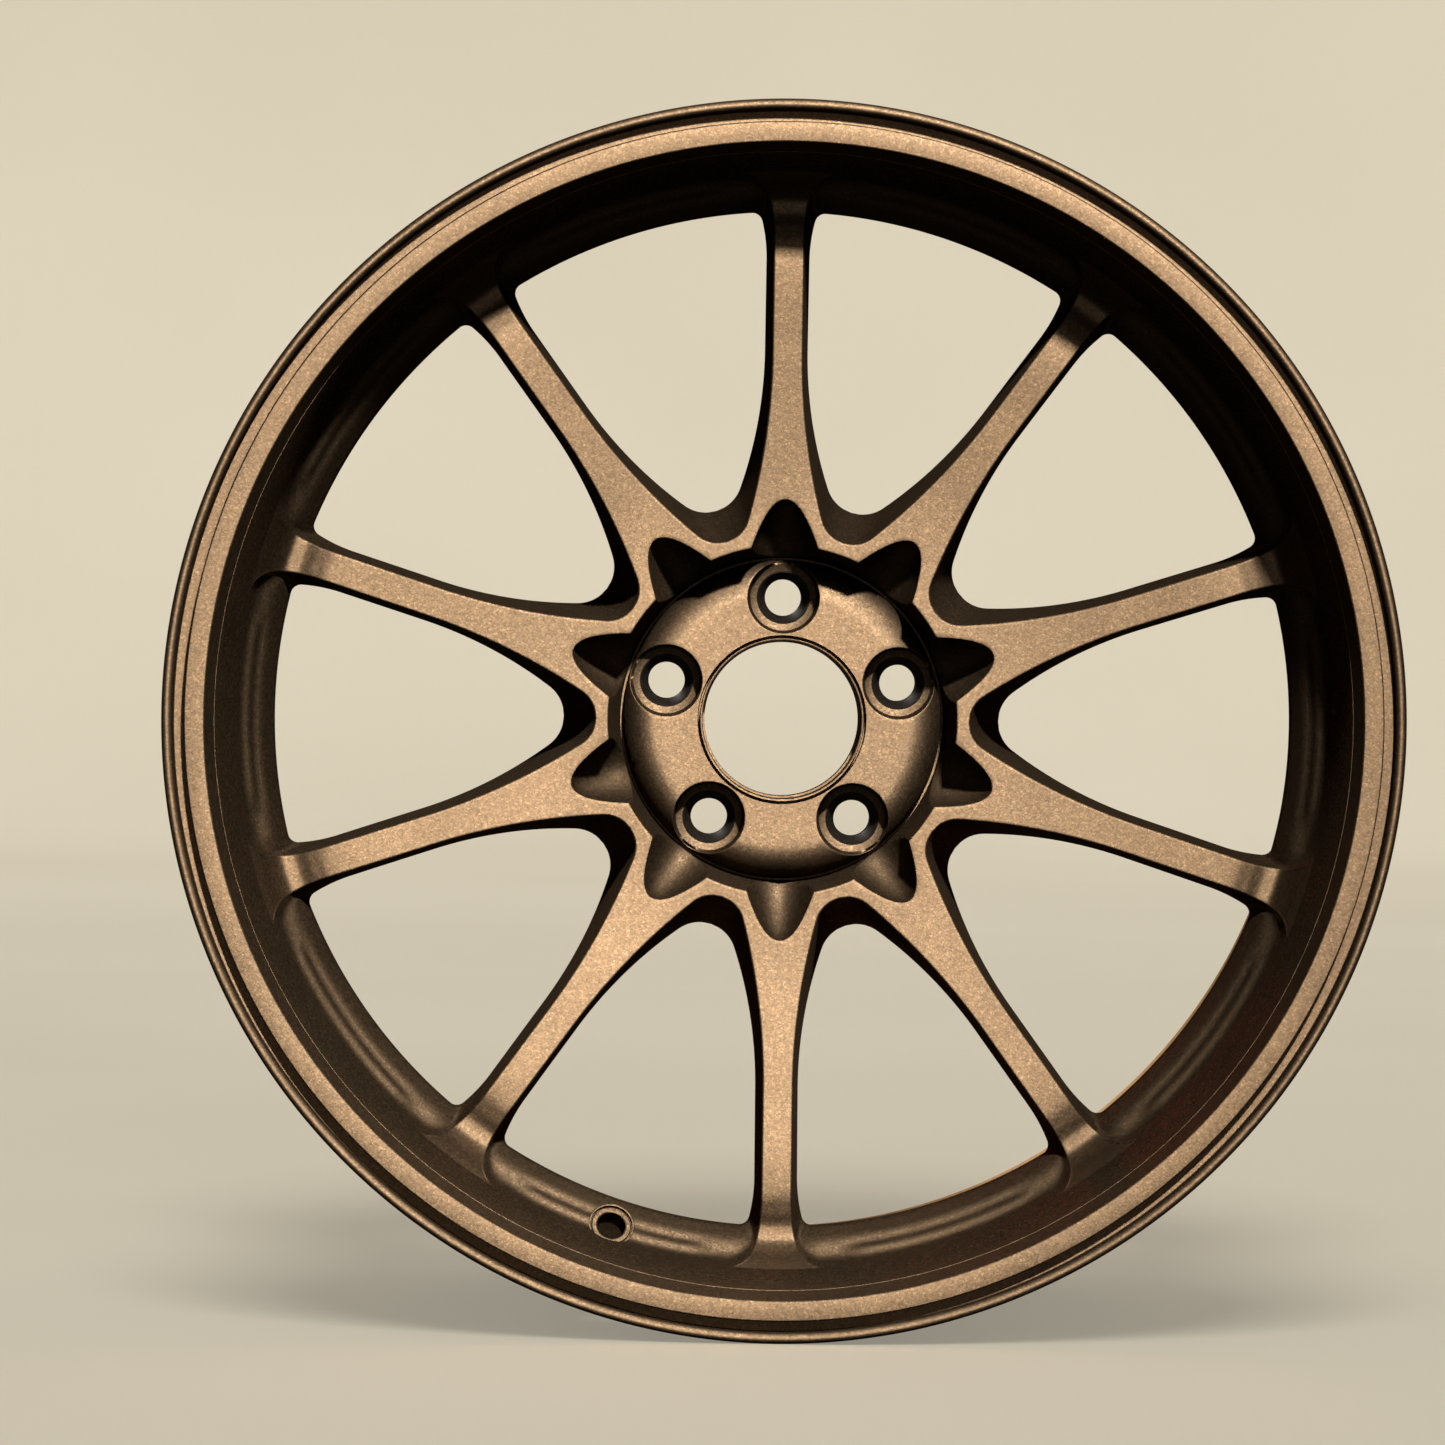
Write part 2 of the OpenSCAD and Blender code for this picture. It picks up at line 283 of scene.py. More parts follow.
def lathe_bm(outline, centre=(0, 0), steps=LATHE_STEPS):
    """A closed solid of revolution about an axis along depth."""
    bm = bmesh.new()
    ring = []
    for k in range(steps):
        a = 2 * math.pi * k / steps
        ring.append([bm.verts.new(world(centre[0] + r * math.cos(a),
                                        centre[1] + r * math.sin(a), d))
                     for r, d in outline])
    n = len(outline)
    for k in range(steps):
        a, b = ring[k], ring[(k + 1) % steps]
        for i in range(n):
            bm.faces.new((a[i], a[(i + 1) % n], b[(i + 1) % n], b[i]))
    bmesh.ops.recalc_face_normals(bm, faces=bm.faces)
    return bm


# ------------------------------------------------------------- spoke outline
class Outline:
    """Half of a spoke's outline in plan, from the notch between two spokes out
    to the ring: tip, flare, straight, foot, pocket corner, ring. The straight
    stretch runs from flare_u to foot_u along the spoke, at its half width."""

    def __init__(self, tip_at, half_w, flare_u, flare_r, foot_u, foot_r, corner_r, ring_r):
        e = Vector((math.cos(HALF_PITCH), math.sin(HALF_PITCH)))
        flare = Vector((flare_u, half_w + flare_r))
        along = e.dot(flare)
        tip_r = ((flare_r ** 2 - tip_at ** 2 + 2 * tip_at * along - flare.dot(flare))
                 / (2 * (tip_at - along + flare_r)))
        tip = e * (tip_at + tip_r)
        lean = math.degrees(math.atan2(flare.y - tip.y, flare.x - tip.x)) - 180
        foot = Vector((foot_u, half_w + foot_r))
        near, far, gap = ring_r - corner_r, foot_r - corner_r, foot.length
        a = (near ** 2 - far ** 2 + gap ** 2) / (2 * gap)
        h = math.sqrt(near ** 2 - a ** 2)
        to = foot.normalized()
        corner = to * a + Vector((to.y, -to.x)) * h
        turn = math.degrees(math.atan2(corner.y - foot.y, corner.x - foot.x))
        end = math.degrees(math.atan2(corner.y, corner.x))
        start = math.degrees(HALF_PITCH) - 180
        self.parts = [
            ("arc", tip, tip_r, start, lean),
            ("arc", flare, flare_r, lean, -90),
            ("line", Vector((flare_u, half_w)), Vector((foot_u, half_w))),
            ("arc", foot, foot_r, -90, turn),
            ("arc", corner, corner_r, turn, end),
            ("ring", Vector((0, 0)), ring_r, end, math.degrees(HALF_PITCH)),
        ]

    def at(self, t):
        """The point at parameter t (0 to 6), and the unit normal into the window."""
        i = min(int(t), 5)
        part, s = self.parts[i], t - i
        if part[0] == "line":
            return part[1].lerp(part[2], s), Vector((0, 1))
        a = math.radians(part[3] + (part[4] - part[3]) * s)
        out = Vector((math.cos(a), math.sin(a)))
        return part[1] + out * part[2], -out


FRONT = Outline(tip_at=76.4, half_w=6.3, flare_u=150, flare_r=265, foot_u=195, foot_r=75,
                corner_r=11.0, ring_r=RING_R)
REAR = Outline(tip_at=89.9, half_w=8.8, flare_u=152, flare_r=178, foot_u=188, foot_r=62,
               corner_r=4.2, ring_r=WINDOW_R)


def front_round(t):
    """The front edge's radius, which fades out at the ring line."""
    p, _ = FRONT.at(t)
    return FRONT_ROUND * ease(RING_R - p.length, 0, FADE_WIDTH)


def front_inner(t):
    """The front face's edge, inside the rounding."""
    p, n = FRONT.at(t)
    return p - n * front_round(t)


def rear_inner(t):
    """The back face's edge, inside the rounding."""
    p, n = REAR.at(t)
    return p - n * BACK_ROUND


# Wall from the front edge (0, 0) to the back edge (1, 1): share of the way
# across in plan, and share of the way down. The ring's own wall has two ridges
# (BAND, as radius and depth) that merge into one at the pocket's ends (BAND_END).
WALL_STEPS = 26
BAND_STARTS, BAND_FULL = 3.75, 5.15     # outline parameters between which it comes in
MERGED_TO, APART_FROM = 6.8, 10.0       # degrees from the spoke's middle line
BAND = [(221.6, 28), (220.7, 33.0), (220.2, 35.6), (219.2, 37.4), (217.4, 38.3), (216.2, 39.3),
        (215.3, 41.6), (214.5, 42.6), (212.8, 43.4), (211.3, 45.0), (209.6, 48.3),
        (207.9, 51.6), (207.2, 53.6), (207.2, 57)]
BAND_END = [(221.6, 28), (220.7, 33.0), (219.9, 36.6), (218.6, 38.9), (216.9, 40.3), (215.2, 41.4),
            (213.6, 42.5), (212.2, 43.9), (210.9, 45.8), (209.6, 48.3),
            (207.9, 51.6), (207.2, 53.6), (207.2, 57)]


def resample(points, n):
    """n + 1 points evenly spaced along a smoothed line, as shares of its box."""
    pts = np.array(points, float)
    for _ in range(3):
        q = 0.75 * pts[:-1] + 0.25 * pts[1:]
        r = 0.25 * pts[:-1] + 0.75 * pts[1:]
        mid = np.empty((2 * len(q), 2))
        mid[0::2], mid[1::2] = q, r
        pts = np.vstack((pts[:1], mid, pts[-1:]))
    run = np.concatenate(([0], np.cumsum(np.linalg.norm(np.diff(pts, axis=0), axis=1))))
    s = np.linspace(0, run[-1], n + 1)
    x = np.interp(s, run, pts[:, 0])
    d = np.interp(s, run, pts[:, 1])
    return np.stack(((RING_R - x) / (RING_R - WINDOW_R), (d - RING_D) / (WINDOW_D - RING_D)), 1)


BAND_SHARE = resample(BAND, WALL_STEPS)
END_SHARE = resample(BAND_END, WALL_STEPS)
PLAIN_SHARE = np.stack([np.linspace(0, 1, WALL_STEPS + 1)] * 2, 1)


def ease(x, a, b):
    """0 up to a, 1 from b, and a smooth step between them."""
    x = min(max((x - a) / (b - a), 0), 1)
    return x * x * (3 - 2 * x)


def wall_share(t):
    """The wall's section at parameter t of the outline."""
    p, _ = FRONT.at(t)
    angle = math.degrees(math.atan2(p.y, p.x))
    bend = ease(t, BAND_STARTS, BAND_FULL)
    apart = ease(angle, MERGED_TO, APART_FROM)
    section = END_SHARE * (1 - apart) + BAND_SHARE * apart
    return PLAIN_SHARE * (1 - bend) + section * bend


# -------------------------------------------------------------- spoke sector
ACROSS = 12             # columns across half a spoke's face
ARCH = 22               # columns across half a scoop
RING_STEPS = 26


def collar_wall_r(d):
    """Radius of the leaning wall round the trench, at depth d."""
    return TRENCH_R + (TRENCH_D - d) / (TRENCH_D - FACE_D) * (COLLAR_R - TRENCH_R)


def scoop_depth(x, y):
    """Depth of a scoop below the face: a trough that deepens from its tip."""
    run = max(SCOOP_END - x, 0)
    inside = max(1 - y * y / (SCOOP_BEND * run + 1e-9), 0)
    return SCOOP_DEPTH * (run / SCOOP_REACH) ** SCOOP_POWER * math.sqrt(inside)


def scoop_line(x0, ex, ey):
    """From the scoop's middle (x0, 0) to its edge (ex, ey), and over the rounded
    edge on to the face."""
    lo, hi = 0.0, 1.0
    for _ in range(36):
        s = (lo + hi) / 2
        if scoop_depth(x0 + (ex - x0) * s, ey * s) > SCOOP_ROUND:
            lo = s
        else:
            hi = s
    out = []
    for a in np.linspace(0, math.pi / 2, ARCH + 1):
        t = s * math.sin(a)
        x, y = x0 + (ex - x0) * t, ey * t
        out.append((x, y, face_depth(math.hypot(x, y)) + scoop_depth(x, y)))
    x, y = out[-1][:2]
    out[-1] = (x, y, face_depth(math.hypot(x, y)) + SCOOP_ROUND)
    along = Vector((ex - x0, ey)).normalized()
    for a in np.radians([30, 60, 90]):
        t = SCOOP_ROUND * (1 - math.cos(a))
        px, py = x + along.x * t, y + along.y * t
        out.append((px, py, face_depth(math.hypot(px, py)) + SCOOP_ROUND * (1 - math.sin(a))))
    return out


def scoop_row(x):
    """A line straight across the scoop, x from the wheel's middle."""
    return scoop_line(x, x, math.sqrt(SCOOP_BEND * (SCOOP_END - x)))


def cap_row(a):
    """A line through the scoop's round end, at angle a from its axis."""
    run = SCOOP_END - SCOOP_POLE
    if a < 1e-4:
        reach = run
    else:
        s2, c = math.sin(a) ** 2, SCOOP_BEND * math.cos(a)
        reach = (-c + math.sqrt(c * c + 4 * s2 * SCOOP_BEND * run)) / (2 * s2)
    return scoop_line(SCOOP_POLE, SCOOP_POLE + reach * math.cos(a), reach * math.sin(a))


def solve(grows, lo, hi):
    """Where a test that is true up to some point turns false."""
    for _ in range(40):
        mid = (lo + hi) / 2
        lo, hi = (mid, hi) if grows(mid) else (lo, mid)
    return (lo + hi) / 2


def scoop_arch():
    """Where the scoop opens through the collar's wall."""
    out = []
    for k in range(ARCH + 4):
        def inside(x):
            px, py, d = scoop_row(x)[k]
            return math.hypot(px, py) < collar_wall_r(d)
        out.append(scoop_row(solve(inside, 60.0, 76.0))[k])
    return out


def edge_radius(line):
    """Distance from the wheel's middle to a scoop line's outer end."""
    return math.hypot(*line[-1][:2])


def hub_rows():
    """Radii of the face's rows over the scoop's length."""
    end = edge_radius(cap_row(0.0))
    cap = [edge_radius(cap_row(a)) for a in np.radians([80, 68, 56, 44, 33, 23, 14, 7])]
    tip = [front_inner(t).length for t in np.linspace(0, 1, 13)]
    wanted = sorted([72.2, 73.4, 74.5] + [r for r in tip + cap if 72 < r < end - 0.05]
                    + list(np.arange(78, end - 0.5, 1.2)))
    rows = [COLLAR_R]
    for r in wanted:
        if r - rows[-1] > 0.28 or r == tip[0]:
            if r - rows[-1] <= 0.28:
                rows.pop()
            rows.append(r)
    return rows, end


def scoop_point_rows(rows):
    """Scoop sections whose edges lie at the given radii."""
    ball = edge_radius(scoop_row(SCOOP_POLE))
    out = []
    for r in rows:
        if r < ball:
            out.append(scoop_row(solve(lambda x: edge_radius(scoop_row(x)) < r, 66.0, SCOOP_POLE)))
        else:
            out.append(cap_row(solve(lambda a: edge_radius(cap_row(a)) > r, 0.0, math.pi / 2)))
    return out


SPREAD = np.concatenate(([0], np.linspace(0.25, 1, ACROSS)))


def polar_row(r, a1, depth):
    """A row of one radius and depth, from the spoke's middle line to angle a1."""
    return [(r * math.cos(a), r * math.sin(a), depth) for a in np.linspace(0, a1, ACROSS + 1)]


def collar_rows(arch):
    """The collar's wall, from the scoop's arch to the seam and the trench's floor."""
    count = len(arch)
    rim = []
    for k in range(count):
        if k <= ACROSS:
            rim.append((HALF_PITCH * k / ACROSS, TRENCH_D))
        else:
            s = (k - ACROSS) / (count - 1 - ACROSS)
            rim.append((HALF_PITCH, TRENCH_D + (FACE_D - TRENCH_D) * s))
    rows = []
    for s in SPREAD:
        row = []
        for (x, y, d), (rim_a, rim_d) in zip(arch, rim):
            a = math.atan2(y, x)
            a += (rim_a - a) * s
            depth = d + (rim_d - d) * s
            r = collar_wall_r(depth) if s > 0 else math.hypot(x, y)
            row.append((r * math.cos(a), r * math.sin(a), depth))
        rows.append(row)
    return rows


def face_rows(inner_radii, starts):
    """The front face: rows of one radius that end short of the rounded edge, and
    the outline's parameter at the end of each row beside the window."""
    ts = np.linspace(0, 5, 4001)
    radii = np.array([front_inner(t).length for t in ts])
    rows = [(r, math.atan2(start[1], start[0])) for r, start in zip(inner_radii, starts)]
    outer_t = np.concatenate((np.linspace(1, 2, 60), np.linspace(2, 3, 22),
                              np.linspace(3, 4, 22), np.linspace(4, 5, 19)))
    for t in outer_t:
        r = front_inner(t).length
        if r > rows[-1][0] + 0.25 or t == outer_t[-1]:
            rows.append((r, 0.0))
    face, marks = [], []
    for r, a0 in rows:
        a1 = HALF_PITCH
        if r >= radii[0] - 1e-9:
            t = float(np.interp(r, radii, ts))
            marks.append(t)
            p = front_inner(t)
            a1 = math.atan2(p.y, p.x)
        face.append([(r * math.cos(a), r * math.sin(a), face_depth(r))
                     for a in a0 + (a1 - a0) * SPREAD])
    marks[-1] = 5.0
    return face, marks


def wall_row(t):
    """The window's wall at parameter t, with its rounded edges in front and behind."""
    e = front_round(t)
    p, n = FRONT.at(t)
    start = p - n * e
    front_d = face_depth(start.length)
    row = []
    for s in (0, 30, 60):
        a = math.radians(s)
        q = start + n * (e * math.sin(a))
        row.append((q.x, q.y, front_d + e * (1 - math.cos(a))))
    b, nb = REAR.at(t)
    top = front_d + e
    foot = back_depth(rear_inner(t).length) - BACK_ROUND
    for across, down in wall_share(t):
        q = p.lerp(b, across)
        if t >= 5:
            q = q.normalized() * (p.length + (b.length - p.length) * across)
        row.append((q.x, q.y, top + (foot - top) * down))
    for s in (60, 30, 0):
        a = math.radians(s)
        q = b - nb * (BACK_ROUND * (1 - math.sin(a)))
        row.append((q.x, q.y, foot + BACK_ROUND * math.cos(a)))
    return row


def closing_rows(face_end, back_end, ring_t):
    """Faces towards the rim, hidden against it, from the back round to the front."""
    tail = [p[:2] for p in back_end] + [tuple(rear_inner(t)) for t in ring_t]
    head = [p[:2] for p in face_end] + [tuple(FRONT.at(t)[0]) for t in ring_t]
    tail_a = [math.atan2(y, x) for x, y in tail]
    head_a = [math.atan2(y, x) for x, y in head]
    back_r = math.hypot(*rear_inner(5.0))
    shell = [(back_r, back_depth(back_r)), (209.4, 58.4), (211.2, 58.9), (FLANK_R, FLANK_D),
             (217.5, 49.5), (RING_R, HUMP_D), (RING_R, 34), (RING_R, RING_D)]
    rows = []
    for i, (r, d) in enumerate(shell):
        s = i / (len(shell) - 1)
        rows.append([(r * math.cos(a + (b - a) * s), r * math.sin(a + (b - a) * s), d)
                     for a, b in zip(tail_a, head_a)])
    return rows


def half_sector():
    """Skin of half a spoke's slice, from its middle line to the seam."""
    bm = bmesh.new()
    inner_radii, scoop_end = hub_rows()
    arch = scoop_arch()
    arch[-1] = (COLLAR_R * math.cos(math.asin(arch[-1][1] / COLLAR_R)), arch[-1][1], FACE_D)
    add_grid(bm, collar_rows(arch))
    add_grid(bm, [polar_row(r, HALF_PITCH, TRENCH_D) for r in (PAD_R, TRENCH_EDGE_R, TRENCH_R)])
    add_grid(bm, [polar_row(PAD_R, HALF_PITCH, d) for d in PAD_WALL_D])
    scoop = [arch] + scoop_point_rows(inner_radii[1:]) + [cap_row(0.0)]
    add_grid(bm, scoop)
    face, marks = face_rows(inner_radii + [scoop_end], [line[-1] for line in scoop])
    add_grid(bm, face)
    ring_t = list(np.linspace(5, 6, RING_STEPS + 1))[1:]
    add_grid(bm, [wall_row(t) for t in marks + ring_t])
    back = [polar_row(r, HALF_PITCH, back_depth(r)) for r in (PAD_R, 70, 77, 83)]
    for t in marks:
        p = rear_inner(t)
        back.append(polar_row(p.length, math.atan2(p.y, p.x), back_depth(p.length)))
    add_grid(bm, back)
    add_grid(bm, closing_rows(face[-1], back[-1], ring_t))
    weld(bm)
    return bm


def is_collar_edge(edge):
    """Whether an edge is a sharp one of the collar's wall, clear of the trench."""
    mid = (edge.verts[0].co + edge.verts[1].co) * 500
    r = math.hypot(mid.x, mid.z)
    d = mid.y + HALF_W
    beside = TRENCH_R + 0.3 < r < COLLAR_R + 0.4 and d < TRENCH_D - 1
    return beside and len(edge.link_faces) == 2 and edge.calc_face_angle(0) > math.radians(35)


def sector_bm():
    """A whole slice: both halves, the soft edges of the collar, and flat ends."""
    bm = half_sector()
    bmesh.ops.mirror(bm, geom=bm.verts[:] + bm.edges[:] + bm.faces[:],
                     matrix=Matrix.Identity(4), merge_dist=0, axis="Z")
    weld(bm)
    bmesh.ops.recalc_face_normals(bm, faces=bm.faces)
    soft = [edge for edge in bm.edges if is_collar_edge(edge)]
    bmesh.ops.bevel(bm, geom=soft, offset=0.0004, offset_type="OFFSET", segments=2,
                    profile=0.5, affect="EDGES", clamp_overlap=False)
    weld(bm)
    bmesh.ops.holes_fill(bm, edges=[e for e in bm.edges if len(e.link_faces) == 1], sides=0)
    bmesh.ops.recalc_face_normals(bm, faces=bm.faces)
    return bm


def seam_normals(a):
    """Normals of the two seam planes beside the spoke at angle a."""
    return [(-math.sin(a + s * HALF_PITCH), 0.0, math.cos(a + s * HALF_PITCH)) for s in (-1, 1)]


def build_spokes(material, cutter):
    """Ten like pieces, with room for the valve boss cut from the two beside it."""
    base = sector_bm()
    mesh = bpy.data.meshes.new("sector")
    base.to_mesh(mesh)
    base.free()
    for i in range(SPOKE_COUNT):
        a = math.radians(90) + 2 * HALF_PITCH * i
        bm = bmesh.new()
        bm.from_mesh(mesh)
        bm.transform(Matrix.Rotation(-a, 4, "Y"))
        near = abs((a - VALVE_ANGLE + math.pi) % (2 * math.pi) - math.pi) < 0.4
        new_piece(f"spoke_{i + 1:02d}_forging", bm,
                  [f"spoke_{i + 1:02d}", "hub_collar", "spoke_ring"], material,
                  seams=seam_normals(a), cutters=[cutter] if near else ())
    bpy.data.meshes.remove(mesh)


# ------------------------------------------------------------------ rim rings
def lip_wall_r(d):
    """Radius of the lip's sloping inner wall, at depth d."""
    return LIP_TOP_R - (LIP_TOP_R - RING_R) / (RING_D - LIP_TOP_D) * (d - LIP_TOP_D)


def build_lip(material, cutter):
    """The outboard flange with its front groove, and the wall and bead seat behind it."""
    step_r = lip_wall_r(LIP_STEP_D)
    outline = rounded([(lip_wall_r(FLANGE_T), FLANGE_T), (step_r, LIP_STEP_D, 0.1),
                       (step_r + LIP_STEP, LIP_STEP_D, 0.05), (lip_wall_r(0) + LIP_STEP, 0.0, 0.9),
                       (LIP_RIDGE_R, 0.0, 0.7), (LIP_RIDGE_R, LIP_RIDGE_D, 0.5),
                       (GROOVE_R, LIP_RIDGE_D, 0.5), (GROOVE_R, EDGE_ROUND)])
    outline += arc_points(FLANGE_R - EDGE_ROUND, EDGE_ROUND, EDGE_ROUND, 180, 360, 16)[1:]
    outline += arc_points(FLANGE_R - FLANGE_CURVE, FLANGE_T - FLANGE_CURVE, FLANGE_CURVE, 0, 90, 16)
    new_piece("lip_flange", lathe_bm(outline), ["outboard_flange"], material)

    outline = [(lip_wall_r(FLANGE_T), FLANGE_T)]
    outline += arc_points(SEAT_R + SEAT_CURVE, FLANGE_T + SEAT_CURVE, SEAT_CURVE, 270, 180, 10)
    outline += rounded([(HUMP_FOOT_R, 33, 6), (HUMP_R, 35.5, 3), (HUMP_R, 37, 2),
                        (HUMP_END_R, HUMP_D)])
    outline += [(RING_R, HUMP_D), (RING_R, RING_D)]
    new_piece("lip_wall_and_bead_seat", lathe_bm(outline),
              ["outboard_bead_seat"], material, cutters=[cutter])


def build_barrel(material, cutter):
    """The drop centre behind the spokes, and the barrel behind that."""
    outline = rounded([(RING_R, HUMP_D), (HUMP_END_R, HUMP_D), (216, 61.2, 5), (WELL_R, 62.2, 3),
                       (WELL_R, WELL_END_D, 8), (BARREL_R, BARREL_D), (BARREL_IN_R, BARREL_D),
                       (WELL_IN_R, WELL_END_D, 8), (WELL_IN_R, WELL_START_D, 4),
                       (FLANK_R, FLANK_D)])
    new_piece("drop_centre_shell", lathe_bm(outline),
              ["drop_centre"], material, cutters=[cutter])

    outline = [(BARREL_IN_R, BARREL_D), (BARREL_R, BARREL_D), (BARREL_MID_R, BARREL_MID_D),
               (HUMP_END_R, REAR_HUMP_D), (BARREL_END_IN_R, REAR_HUMP_D),
               (BARREL_MID_IN_R, BARREL_MID_D)]
    new_piece("barrel_shell", lathe_bm(outline), ["barrel"], material)


def build_rear(material):
    """The inboard bead seat and flange."""
    hump, face = REAR_HUMP_D, TOTAL_W - FLANGE_T
    outline = rounded([(BARREL_END_IN_R, hump), (HUMP_END_R, hump, 2), (HUMP_R, hump + 3, 2),
                       (HUMP_R, hump + 4.5, 2), (HUMP_FOOT_R, hump + 7, 2),
                       (SEAT_R, face - SEAT_CURVE)])
    outline += arc_points(SEAT_R + SEAT_CURVE, face - SEAT_CURVE, SEAT_CURVE, 180, 90, 10)[1:]
    outline += rounded([(REAR_IN_R, face), (REAR_IN_R, hump + 8, 4), (BARREL_END_IN_R, hump)])[:-1]
    new_piece("rear_bead_seat", lathe_bm(outline), ["inboard_bead_seat"], material)

    outline = [(REAR_IN_R, face)]
    outline += arc_points(FLANGE_R - FLANGE_CURVE, face + FLANGE_CURVE, FLANGE_CURVE, 270, 360, 16)
    outline += arc_points(FLANGE_R - EDGE_ROUND, TOTAL_W - EDGE_ROUND, EDGE_ROUND, 0, 90, 8)
    outline += [(230.4, TOTAL_W), (229.3, TOTAL_W - 0.2), (228.2, TOTAL_W - 1.0),
                (REAR_IN_R, TOTAL_W - 2.4)]
    new_piece("rear_flange", lathe_bm(outline), ["inboard_flange"], material)


# ------------------------------------------------------------------- hub pad
PAD_ARC = 61            # points along a fifth of the pad's outside
BORE_ARC = 31           # points along a fifth of the bore


def pad_depth(r):
    """Depth of the pad's front: flat, then falling away in a round shoulder."""
    if r <= PAD_FLAT_R:
        return PAD_D
    s = min((r - PAD_FLAT_R) / (PAD_R - PAD_FLAT_R), 1)
    return PAD_D + (TRENCH_D - PAD_D) * (1 - math.sqrt(max(1 - s * s, 0)))


def lug_angle(i):
    """Lug holes run anticlockwise from 12 o'clock, as seen from outboard."""
    return math.radians(90 + 360 / LUG_COUNT * i)


def pad_arc(r, count):
    """Points of one lug's fifth of a circle about the wheel's middle."""
    half = math.pi / LUG_COUNT
    return [(r * math.cos(a), r * math.sin(a)) for a in np.linspace(-half, half, count)]


def lug_frame(r_in):
    """Edge points of one lug's fifth of the pad, from the radius r_in outwards."""
    half = math.pi / LUG_COUNT
    seam = [(r * math.cos(half), r * math.sin(half)) for r in np.linspace(r_in, PAD_R, 15)]
    outer = pad_arc(PAD_R, PAD_ARC)[::-1]
    back = [(x, -y) for x, y in reversed(seam)]
    return seam[:-1] + outer[:-1] + back[:-1] + pad_arc(r_in, BORE_ARC)


def lug_directions():
    """Unit vectors from the lug's centre to the frame's points."""
    return [Vector((x - LUG_CIRCLE_R, y)).normalized() for x, y in lug_frame(GROOVE_OUT)]


def lug_row(radius, depths):
    """A ring about the lug's centre."""
    return [(LUG_CIRCLE_R + n.x * radius, n.y * radius, d)
            for n, d in zip(lug_directions(), depths)]


def lug_fan(bm, hole_r, r_in, depth, bands):
    """A face of the pad round one lug hole. Gives the depths along the hole's edge."""
    rows = []
    hole = [(LUG_CIRCLE_R + n.x * hole_r, n.y * hole_r) for n in lug_directions()]
    for s in np.linspace(0, 1, bands + 1):
        row = []
        for (x, y), (qx, qy) in zip(lug_frame(r_in), hole):
            px, py = qx + (x - qx) * s, qy + (y - qy) * s
            row.append((px, py, depth(math.hypot(px, py))))
        rows.append(row)
    add_grid(bm, rows)
    return [p[2] for p in rows[0]]


def lug_hole(bm, edge_depths):
    """Rounded edge, tapered counterbore, seat pocket and hole of one lug."""
    floor = PAD_D + LUG_BORE_DEPTH
    seat_end = floor + LUG_SEAT_DEPTH
    foot_r = LUG_BORE_R - LUG_TAPER
    rows = [lug_row(LUG_BORE_R + LUG_EDGE, edge_depths)]
    for a in np.radians([25, 50, 70, 90]):
        drop = LUG_EDGE * (1 - math.cos(a))
        rows.append(lug_row(LUG_BORE_R + LUG_EDGE * (1 - math.sin(a)),
                            [d + drop for d in edge_depths]))
    for r, d in [(foot_r, floor - 0.2), (foot_r - 0.2, floor), (LUG_SEAT_R + 0.3, floor),
                 (LUG_SEAT_R, floor + 0.2), (LUG_SEAT_R, seat_end), (LUG_HOLE_R, seat_end),
                 (LUG_HOLE_R, MOUNT_D)]:
        rows.append(lug_row(r, [d] * len(edge_depths)))
    add_grid(bm, rows)


def mount_depth(r):
    """The mounting face is flat."""
    return MOUNT_D


def pad_fifth():
    """One lug's fifth of the pad: front, lug hole, mounting face, bore and outside."""
    bm = bmesh.new()
    lug_hole(bm, lug_fan(bm, LUG_BORE_R + LUG_EDGE, GROOVE_OUT, pad_depth, 16))
    lug_fan(bm, LUG_HOLE_R, SPIGOT_R + BACK_CHAMFER, mount_depth, 8)
    groove_floor = PAD_D + GROOVE_DEPTH
    spigot_d = MOUNT_D - SPIGOT_LENGTH
    middle = [(GROOVE_OUT, PAD_D), (GROOVE_OUT - GROOVE_LEAN, groove_floor),
              (GROOVE_IN + GROOVE_LEAN, groove_floor), (GROOVE_IN, PAD_D),
              (BORE_R + 0.45, PAD_D), (BORE_R + 0.12, PAD_D + 0.15), (BORE_R, PAD_D + 0.6),
              (BORE_R, spigot_d), (SPIGOT_R, spigot_d), (SPIGOT_R, MOUNT_D - BACK_CHAMFER),
              (SPIGOT_R + BACK_CHAMFER, MOUNT_D)]
    add_grid(bm, [[(x, y, d) for x, y in pad_arc(r, BORE_ARC)] for r, d in middle])
    add_grid(bm, [[(x, y, d) for x, y in pad_arc(PAD_R, PAD_ARC)] for d in PAD_WALL_D])
    return bm


def build_pad(material):
    """The bolt pad: five like fifths, joined."""
    bm = bmesh.new()
    one = pad_fifth()
    mesh = bpy.data.meshes.new("fifth")
    one.to_mesh(mesh)
    one.free()
    for i in range(LUG_COUNT):
        turn = Matrix.Rotation(-lug_angle(i), 4, "Y")
        part = mesh.copy()
        part.transform(turn)
        bm.from_mesh(part)
        bpy.data.meshes.remove(part)
    bpy.data.meshes.remove(mesh)
    weld(bm)
    bmesh.ops.recalc_face_normals(bm, faces=bm.faces)
    new_piece("bolt_pad", bm, ["hub_pad"], material, sharp=50)


